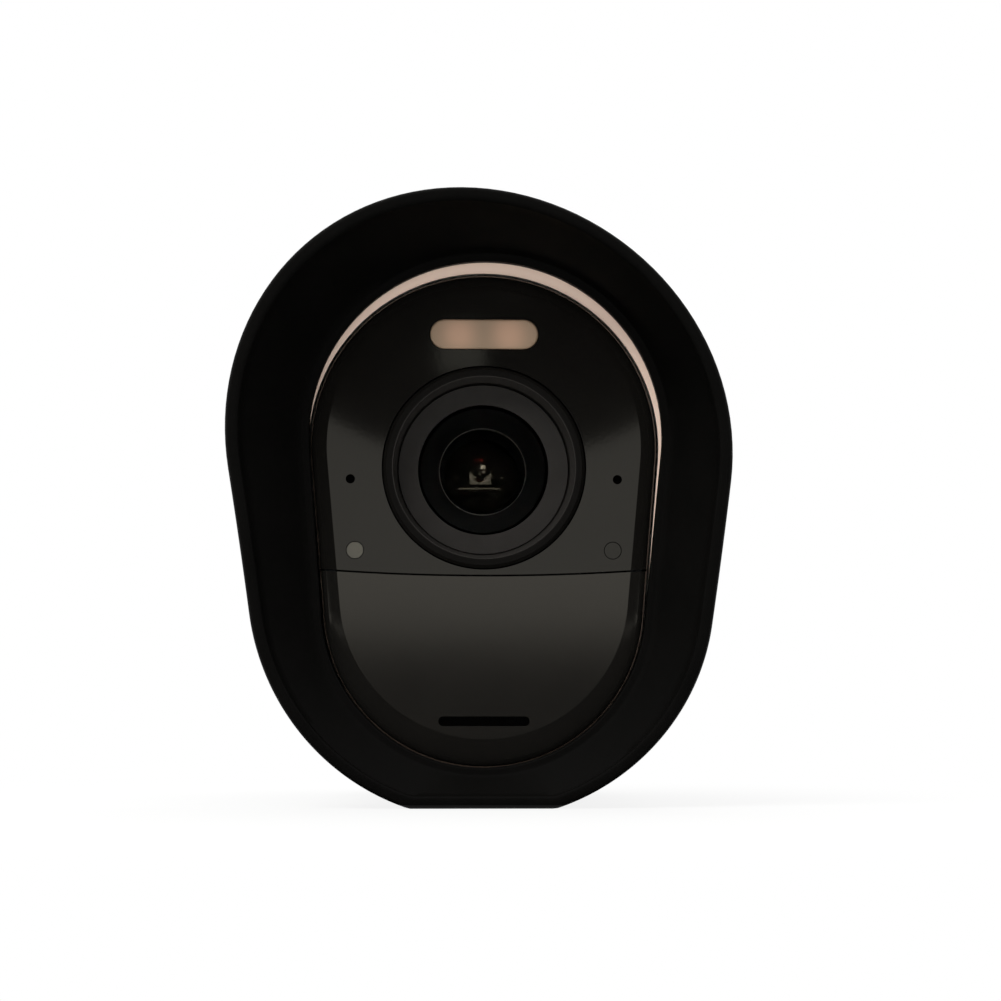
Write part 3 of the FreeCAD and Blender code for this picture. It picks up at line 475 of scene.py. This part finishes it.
# Gold plated over a polished contact: bright yellow, hardly any grain.
finish_nodes(
    surface(
        "gold plated contact",
        ("#E8C469", "#D4A94A"),
        0.8 * MM,
        0.08 * MM,
        0.001 * MM,
        (0.16, 0.26),
        Metallic=1.0,
    ),
    "charging_contacts",
    "battery_contacts",
)

# PBT, moulded: the satin black of sockets and switches.
finish_nodes(
    surface(
        "PBT moulded black",
        ("#1D1D1E", "#141415"),
        2 * MM,
        0.15 * MM,
        0.006 * MM,
        (0.42, 0.55),
        IOR=1.55,
    ),
    "charging_port",
    "pairing_switch",
    "speaker",
)


def patterned(material, pattern, inputs, output, share, colour, **settings):
    """Lays a pattern's lines or cells over a finish's colour, in another colour."""
    tree = material.node_tree
    place = node(tree, "TexCoord", {}).outputs["Object"]
    drawn = node(tree, pattern, {"Vector": place, **inputs}, **settings)
    cut = node(tree, "Math", {0: drawn.outputs[output], 1: share}, operation="GREATER_THAN")
    return laid_over(material, cut.outputs["Value"], colour)


# Glass fibre board under green solder mask, with copper tracks that show as lighter lines. They
# are drawn coarser than real ones, which would be too fine to see.
TRACK_SPACING = 7 * MM
TRACK_CUT = 0.93
board_finish = surface(
    "FR4 board solder mask",
    ("#1F5A3C", "#174A31"),
    3 * MM,
    0.2 * MM,
    0.003 * MM,
    (0.25, 0.35),
    IOR=1.5,
)
patterned(
    board_finish,
    "TexWave",
    {"Scale": 1 / TRACK_SPACING, "Distortion": 6.0, "Detail": 0.0},
    "Fac",
    TRACK_CUT,
    "#3F8A5F",
    bands_direction="DIAGONAL",
)
finish_nodes(
    board_finish, "port_board", "main_board", "sensor_board", "spotlight_board"
)

# The face of the core.
# Two plates of black polycarbonate, moulded and clipped into the frame behind them. A fine
# curved joint runs between them below the lens, and the lower one has the speaker's slot.

# Polycarbonate from a mirror-polished tool: black that mirrors the room clearly.
finish_nodes(
    surface(
        "polycarbonate gloss black",
        ("#12110F", "#0E0D0C"),
        8 * MM,
        0.6 * MM,
        0.0005 * MM,
        (0.03, 0.06),
        IOR=1.4,
        Specular_Tint=linear("#FFFAEC"),
    ),
    "upper_faceplate",
)

# The same from a softer polish, which lets the motion sensor's infrared through: its mirror
# image of the room is blurred.
finish_nodes(
    surface(
        "polycarbonate soft gloss black",
        ("#151412", "#11100F"),
        8 * MM,
        0.3 * MM,
        0.0004 * MM,
        (0.09, 0.11),
        IOR=1.53,
        Specular_Tint=linear("#FFF8E8"),
    ),
    "lower_faceplate",
)

# The lens.
# A trim ring in the plate, a sloping bezel in the ring and a flat cover glass. Behind the glass
# the barrel carries two elements, and the sensor's holder and board close it at the back.

TRIM_SEAT_R = 11.75 * MM
TRIM_FLAT_R = 12.4 * MM
BORE_R = 5.87 * MM
FUNNEL_EDGE_R = 6.02 * MM


def ringed(material, inner, outer, colour):
    """Gives a finish another colour between two distances from the lens axis."""
    tree = material.node_tree
    place = node(tree, "TexCoord", {}).outputs["Object"]
    offset = node(tree, "VectorMath", {0: place, 1: (0, 0, LENS_Z)}, operation="SUBTRACT")
    across = node(
        tree, "VectorMath", {0: offset.outputs["Vector"], 1: (1, 0, 1)}, operation="MULTIPLY"
    )
    reach = node(tree, "VectorMath", {0: across.outputs["Vector"]}, operation="LENGTH")
    middle = (inner + outer) / 2
    width = (outer - inner) / 2
    band = node(
        tree, "Math", {0: reach.outputs["Value"], 1: middle, 2: width}, operation="COMPARE"
    )
    return laid_over(material, band.outputs["Value"], colour)


# Aluminium turned and anodised black: dull and even. The step that the bezel sits against has
# a thin grey line painted on it: a painted highlight, where the step would catch the light.
trim_with_painted_highlight = surface(
    "aluminium anodised black with painted highlight",
    ("#12110F", "#0D0C0B"),
    3 * MM,
    0.1 * MM,
    0.002 * MM,
    (0.3, 0.4),
    IOR=1.5,
    Specular_IOR_Level=0.06,
)
# The grey band on the step is a painted highlight.
finish_nodes(ringed(trim_with_painted_highlight, TRIM_SEAT_R, TRIM_FLAT_R, "#2B2927"), "lens_trim_ring")

# Polycarbonate from a blasted tool: a dark grey without mirror images.
finish_nodes(
    surface(
        "polycarbonate satin black",
        ("#2E2C2A", "#272523"),
        3 * MM,
        0.12 * MM,
        0.004 * MM,
        (0.34, 0.46),
        IOR=1.5,
        Specular_IOR_Level=0.14,
    ),
    "lens_bezel_ring",
)

# Glass coated against reflections: the coating takes them away, so the low IOR and the black
# tint stand for it, and what is behind the glass shows clearly.
clear = (1 * MM, 0.0, (0.0, 0.0))
finish_nodes(
    surface(
        "cover glass coated against reflections",
        ("#FFFFFF", "#FAFCFB"),
        6 * MM,
        *clear,
        IOR=1.12,
        Specular_Tint=linear("#000000"),
        Transmission_Weight=1.0,
    ),
    "lens_window",
)
finish_nodes(
    surface(
        "optical glass coated",
        ("#F4F2F1", "#EDEBEA"),
        3 * MM,
        *clear,
        IOR=1.16,
        Specular_Tint=linear("#000000"),
        Transmission_Weight=1.0,
    ),
    "front_lens",
)

# Polycarbonate, moulded matt: the inside of the barrel swallows the light, and the edge of its
# bore has a thin pale ring painted on: a painted highlight for the bright line on that edge.
matt_black = (("#505050", "#484848"), 2 * MM, 0.1 * MM, 0.002 * MM, (0.5, 0.6))
barrel_with_painted_highlight = surface("polycarbonate matt black with painted highlight", *matt_black, Specular_IOR_Level=0.1)
# The pale ring at the bore's edge is a painted highlight.
finish_nodes(ringed(barrel_with_painted_highlight, BORE_R, FUNNEL_EDGE_R, "#D8D4CC"), "lens_barrel")
finish_nodes(surface("polycarbonate black", *matt_black), "sensor_holder")

# The rear element, seen deep in the barrel: a dark warm glass that gives the small glints.
finish_nodes(
    surface(
        "optical glass with warm coating",
        ("#6A675C", "#5C594F"),
        3 * MM,
        1 * MM,
        0.0,
        (0.02, 0.04),
        IOR=1.5,
        Specular_IOR_Level=1.0,
        Specular_Tint=linear("#F0E4C8"),
    ),
    "rear_lens",
)

# Silicon under its glass lid: dark blue with a metallic sheen.
finish_nodes(
    surface(
        "silicon sensor",
        ("#1C2030", "#141724"),
        1 * MM,
        0.1 * MM,
        0.0005 * MM,
        (0.12, 0.2),
        Metallic=0.6,
    ),
    "image_sensor",
)

# The spotlight.
# A bar of frosted acrylic, held from behind by a flange, over two emitters on their own board.
# The bar stands in its slot in the upper plate.

EMITTER_X = 3.4 * MM
LOBE_REACH = 3.9 * MM

# Acrylic with a frosted back: milky, brighter in a soft lobe in front of each emitter and darker
# between them and towards the ends.
frosted = surface(
    "acrylic frosted",
    ("#96806A", "#8C7660"),
    4 * MM,
    0.15 * MM,
    0.004 * MM,
    (0.4, 0.5),
    IOR=1.49,
)
tree = frosted.node_tree
place = node(tree, "TexCoord", {}).outputs["Object"]
pill_low, pill_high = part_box("spotlight_lens")
pill_z = (pill_low.z + pill_high.z) / 2
for side in (-1, 1):
    offset = node(
        tree,
        "VectorMath",
        {0: place, 1: (side * EMITTER_X, pill_low.y, pill_z)},
        operation="DISTANCE",
    )
    lobe = node(
        tree,
        "MapRange",
        {"Value": offset.outputs["Value"], "From Max": LOBE_REACH, "To Min": 1.0, "To Max": 0.0},
        interpolation_type="SMOOTHERSTEP",
    )
    laid_over(frosted, lobe.outputs["Result"], "#B6937A")
finish_nodes(frosted, "spotlight_lens")

# Phosphor cast in silicone over the emitters: a dull egg yellow.
finish_nodes(
    surface(
        "LED phosphor",
        ("#F3D45A", "#E5C247"),
        0.6 * MM,
        0.08 * MM,
        0.002 * MM,
        (0.3, 0.4),
        IOR=1.5,
    ),
    "spotlight_leds",
)

# What else shows on the face.
# Two microphones behind their small holes, a status light and a light sensor on rods that come
# flush through the plate, and a mesh behind the speaker's slot.

# Woven gauze: its threads are too fine to show, so it is a dull black with a coarser grain.
finish_nodes(
    surface(
        "acoustic gauze black",
        ("#0A0A0A", "#050505"),
        0.5 * MM,
        0.06 * MM,
        0.01 * MM,
        (0.6, 0.75),
        IOR=1.45,
        Specular_IOR_Level=0.1,
    ),
    "microphones",
)

# Acrylic, clear, with the grey of the unlit lamp behind it.
finish_nodes(
    surface(
        "acrylic clear",
        ("#5E5A4E", "#4A473D"),
        1 * MM,
        0.1 * MM,
        0.001 * MM,
        (0.1, 0.18),
        IOR=1.49,
        Transmission_Weight=0.3,
    ),
    "status_light_pipe",
)

# Acrylic, smoked: as dark and as polished as the plate, so only its edge shows.
finish_nodes(
    surface(
        "acrylic smoked",
        ("#151412", "#10100E"),
        1 * MM,
        0.1 * MM,
        0.001 * MM,
        (0.05, 0.1),
        IOR=1.4,
        Specular_Tint=linear("#FFFAEC"),
    ),
    "light_sensor_window",
)

# Woven mesh: dull threads round tiny darker holes.
MESH_SPACING = 0.35 * MM
MESH_CUT = 0.45
mesh_finish = surface(
    "woven mesh black",
    ("#0D0D0D", "#080808"),
    1 * MM,
    0.1 * MM,
    0.01 * MM,
    (0.45, 0.6),
    IOR=1.5,
    Specular_IOR_Level=0.1,
)
patterned(
    mesh_finish,
    "TexVoronoi",
    {"Scale": 1 / MESH_SPACING},
    "Distance",
    MESH_CUT,
    "#050505",
)
finish_nodes(mesh_finish, "speaker_mesh")

# The core behind the face.
# A tub that carries the boards and the battery, and a frame that four screws hold to it and
# that carries the face. A rubber ring in its groove seals the tub in the housing.

# Glass-filled nylon, moulded: dark grey and dull, with a rough skin from the fibres.
finish_nodes(
    surface(
        "glass-filled nylon moulded",
        ("#4A4C4E", "#3E4042"),
        4 * MM,
        0.2 * MM,
        0.01 * MM,
        (0.5, 0.62),
        IOR=1.53,
    ),
    "chassis",
    "front_frame",
)

# EPDM rubber, moulded: soft black without shine.
finish_nodes(
    surface(
        "EPDM rubber moulded",
        ("#1A1A1B", "#121213"),
        2 * MM,
        0.15 * MM,
        0.008 * MM,
        (0.55, 0.68),
        IOR=1.47,
    ),
    "seal_ring",
)

# PVC film shrunk round the battery: black with a stretched, slightly wavy shine.
finish_nodes(
    surface(
        "PVC battery wrap black",
        ("#222324", "#19191A"),
        10 * MM,
        0.6 * MM,
        0.01 * MM,
        (0.28, 0.4),
        IOR=1.52,
    ),
    "battery",
)

# Stage, light and camera.
# A pale floor that runs out into white, a soft even room and two large soft lamps above. The
# camera looks up a little from low in front, slightly from the left.

FLOOR_SIZE = 6
FADE_START = 0.04
FADE_END = 0.14


def looked_at(tree):
    """1 where the camera looks, straight, in a mirror or through glass, and 0 for other rays."""
    rays = node(tree, "LightPath", {}).outputs
    seen = node(
        tree,
        "Math",
        {0: rays["Is Camera Ray"], 1: rays["Is Transmission Ray"]},
        operation="MAXIMUM",
    )
    return node(
        tree, "Math", {0: seen.outputs["Value"], 1: rays["Is Glossy Ray"]}, operation="MAXIMUM"
    ).outputs["Value"]


bpy.ops.object.select_all(action="DESELECT")
bpy.ops.mesh.primitive_plane_add(size=FLOOR_SIZE)
floor = bpy.context.active_object
floor.name = "floor"
floor_paint = bpy.data.materials.new("floor paint matt white")
floor_paint.use_nodes = True
tree = floor_paint.node_tree
shaded = tree.nodes["Principled BSDF"]
shaded.inputs["Base Color"].default_value = linear("#E6E6E4")
shaded.inputs["Roughness"].default_value = 0.9
place = node(tree, "TexCoord", {}).outputs["Object"]
reach = node(tree, "VectorMath", {0: place}, operation="LENGTH")
fade = node(
    tree,
    "MapRange",
    {
        "Value": reach.outputs["Value"],
        "From Min": FADE_START,
        "From Max": FADE_END,
        "To Min": 0.86,
    },
    interpolation_type="SMOOTHSTEP",
)
whitened = node(
    tree, "Math", {0: looked_at(tree), 1: fade.outputs["Result"]}, operation="MULTIPLY"
)
glow = node(tree, "Emission", {"Color": (1, 1, 1, 1), "Strength": 1.0})
mix = node(
    tree,
    "MixShader",
    {
        0: whitened.outputs["Value"],
        1: shaded.outputs["BSDF"],
        2: glow.outputs["Emission"],
    },
)
tree.links.new(mix.outputs["Shader"], tree.nodes["Material Output"].inputs["Surface"])
floor.data.materials.append(floor_paint)

# The room is white to the eye and in every mirror, and lights the object a little less.
ROOM_LEVEL = 0.6
world = bpy.data.worlds.new("soft room")
bpy.context.scene.world = world
world.use_nodes = True
tree = world.node_tree
level = node(
    tree, "MapRange", {"Value": looked_at(tree), "To Min": ROOM_LEVEL, "To Max": 1.0}
)
tree.links.new(level.outputs["Result"], tree.nodes["Background"].inputs["Strength"])
tree.nodes["Background"].inputs["Color"].default_value = (1, 1, 1, 1)


def soft_lamp(name, place, size, power):
    """A square soft lamp that looks at the lens."""
    lamp = bpy.data.objects.new(name, bpy.data.lights.new(name, "AREA"))
    lamp.data.size = size
    lamp.data.energy = power
    lamp.location = place
    aim = Vector((0, 0, LENS_Z)) - Vector(place)
    lamp.rotation_euler = aim.to_track_quat("-Z", "Y").to_euler()
    bpy.context.scene.collection.objects.link(lamp)
    return lamp


for lamp in (
    soft_lamp("key", (-0.5, -0.7, 0.9), 0.6, 12),
    soft_lamp("top", (0.1, 0.3, 1.1), 0.8, 6),
):
    lamp.visible_glossy = False
    lamp.visible_transmission = False

# Two small ones give the lens its white glint and the red streak above it.
soft_lamp("eye light", (0.055, -0.9, 0.26), 0.05, 0.03)
streak = soft_lamp("coloured light", (0.033, -0.9, 0.35), 0.14, 0.025)
streak.data.shape = "RECTANGLE"
streak.data.size_y = 0.01
streak.data.color = linear("#FF5048")[:3]

# Black flags stand where only mirroring and clear pieces show them. The upper half of the
# polished face shows a round one, as a deep black with a round lower edge. Wide ones above, at
# both sides, low down and on the floor keep the rounded edges of the face dark.
FLAG_X = 0.04
FLAG_Y = -1.2
ROUND_FLAG_R = 0.182
ROUND_FLAG_Z = 0.342
TOP_FLAG_SIZE = 1.3
WIDE_FLAG_SIZE = 6
LEFT_FLAG_X = -3.13
RIGHT_FLAG_X = 3.2
FLAG_TOP = 1.6
LOW_FLAG_TOP = 0.055
FLOOR_FLAG_SIZE = 0.84
FLOOR_FLAG_Z = 0.5 * MM
UPRIGHT = (RIGHT_ANGLE, 0, 0)
flag_cloth = bpy.data.materials.new("flag cloth black")
flag_cloth.use_nodes = True
shaded = flag_cloth.node_tree.nodes["Principled BSDF"]
shaded.inputs["Base Color"].default_value = (0, 0, 0, 1)
shaded.inputs["Specular IOR Level"].default_value = 0


def hang_flag(name, cloth=flag_cloth):
    """Dresses the new object in a cloth and hides it from the eye and from soft light."""
    flag = bpy.context.active_object
    flag.name = name
    flag.data.materials.append(cloth)
    flag.visible_camera = False
    flag.visible_diffuse = False
    flag.visible_shadow = False


bpy.ops.object.select_all(action="DESELECT")
bpy.ops.mesh.primitive_circle_add(
    vertices=128,
    radius=ROUND_FLAG_R,
    fill_type="NGON",
    location=(FLAG_X, FLAG_Y, ROUND_FLAG_Z),
    rotation=UPRIGHT,
)
hang_flag("round_flag")
for name, size, x, top in (
    ("top_flag", TOP_FLAG_SIZE, FLAG_X, FLAG_TOP),
    ("left_flag", WIDE_FLAG_SIZE, LEFT_FLAG_X, FLAG_TOP),
    ("right_flag", WIDE_FLAG_SIZE, RIGHT_FLAG_X, FLAG_TOP),
    ("low_flag", WIDE_FLAG_SIZE, 0, LOW_FLAG_TOP),
):
    bpy.ops.object.select_all(action="DESELECT")
    bpy.ops.mesh.primitive_plane_add(
        size=size, location=(x, FLAG_Y, top - size / 2), rotation=UPRIGHT
    )
    hang_flag(name)
bpy.ops.object.select_all(action="DESELECT")
bpy.ops.mesh.primitive_plane_add(
    size=FLOOR_FLAG_SIZE, location=(0, -FLOOR_FLAG_SIZE / 2, FLOOR_FLAG_Z)
)
hang_flag("floor_flag")

# A small grey card shows dimly in the polish below the spotlight.
CARD_SIZE = 0.027
CARD_X = 0.0235
CARD_Z = 0.226
card_paint = bpy.data.materials.new("card paint grey")
card_paint.use_nodes = True
shaded = card_paint.node_tree.nodes["Principled BSDF"]
shaded.inputs["Base Color"].default_value = (0, 0, 0, 1)
shaded.inputs["Emission Color"].default_value = linear("#DADCD8")
shaded.inputs["Emission Strength"].default_value = 1
bpy.ops.object.select_all(action="DESELECT")
bpy.ops.mesh.primitive_plane_add(
    size=CARD_SIZE, location=(CARD_X, FLAG_Y + 10 * MM, CARD_Z), rotation=UPRIGHT
)
hang_flag("grey_card", card_paint)

CAMERA_PLACE = (-0.0109, -0.3521, 0.013)
CAMERA_PITCH = math.radians(4.58)
CAMERA_YAW = math.radians(2.14)
CAMERA_ANGLE = math.radians(21.67)
camera = bpy.data.objects.new("camera", bpy.data.cameras.new("camera"))
camera.data.angle = CAMERA_ANGLE
camera.data.clip_start = 0.01
camera.location = CAMERA_PLACE
camera.rotation_euler = (RIGHT_ANGLE + CAMERA_PITCH, 0, -CAMERA_YAW)
bpy.context.scene.collection.objects.link(camera)
bpy.context.scene.camera = camera
bpy.context.scene.view_settings.view_transform = "Standard"
